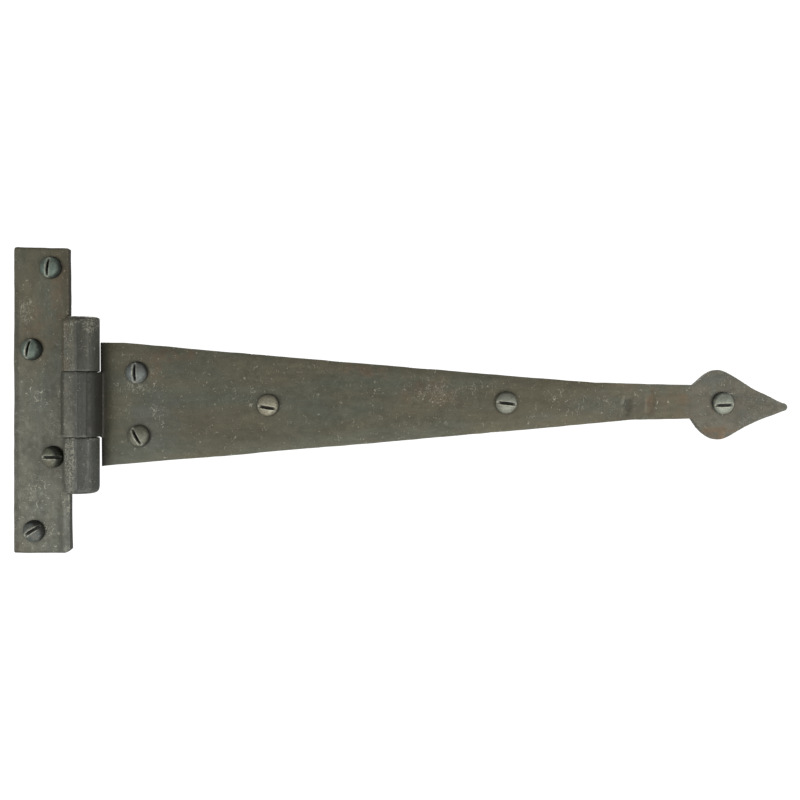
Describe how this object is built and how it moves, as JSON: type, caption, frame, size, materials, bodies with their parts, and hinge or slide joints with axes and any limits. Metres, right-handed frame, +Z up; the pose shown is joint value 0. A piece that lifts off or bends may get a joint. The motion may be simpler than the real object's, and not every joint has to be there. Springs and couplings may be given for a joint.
{
  "type": "strap hinge",
  "caption": "Forged T hinge: upright frame plate, tapering arrow-head arm that swings on a barrel pin, and slotted round-head wood screws.",
  "frame": {"origin": "centre of the frame plate's back face, which lies against the door frame", "axes": "+X along the arm towards its tip, +Y backwards into the wood, +Z up along the hinge pin"},
  "size_m": [0.3362, 0.0314, 0.1336],
  "materials": {
    "forged_steel": "satin",
    "pin_steel": "satin",
    "screw_steel": "satin"
  },
  "bodies": {
    "frame": {"frame_plate": "forged_steel", "hinge_pin": "pin_steel", "frame_screw_1": "screw_steel", "frame_screw_2": "screw_steel", "frame_screw_3": "screw_steel", "frame_screw_4": "screw_steel"},
    "arm": {"arm": "forged_steel", "arm_screw_1": "screw_steel", "arm_screw_2": "screw_steel", "arm_screw_3": "screw_steel", "arm_screw_4": "screw_steel", "arm_screw_5": "screw_steel"}
  },
  "joints": [
    {"name": "arm_swing", "type": "hinge", "parent": "frame", "child": "arm", "pos_m": [0.01855, -0.008, 0], "axis": [0, 0, -1], "range_deg": [0, 180]}
  ]
}
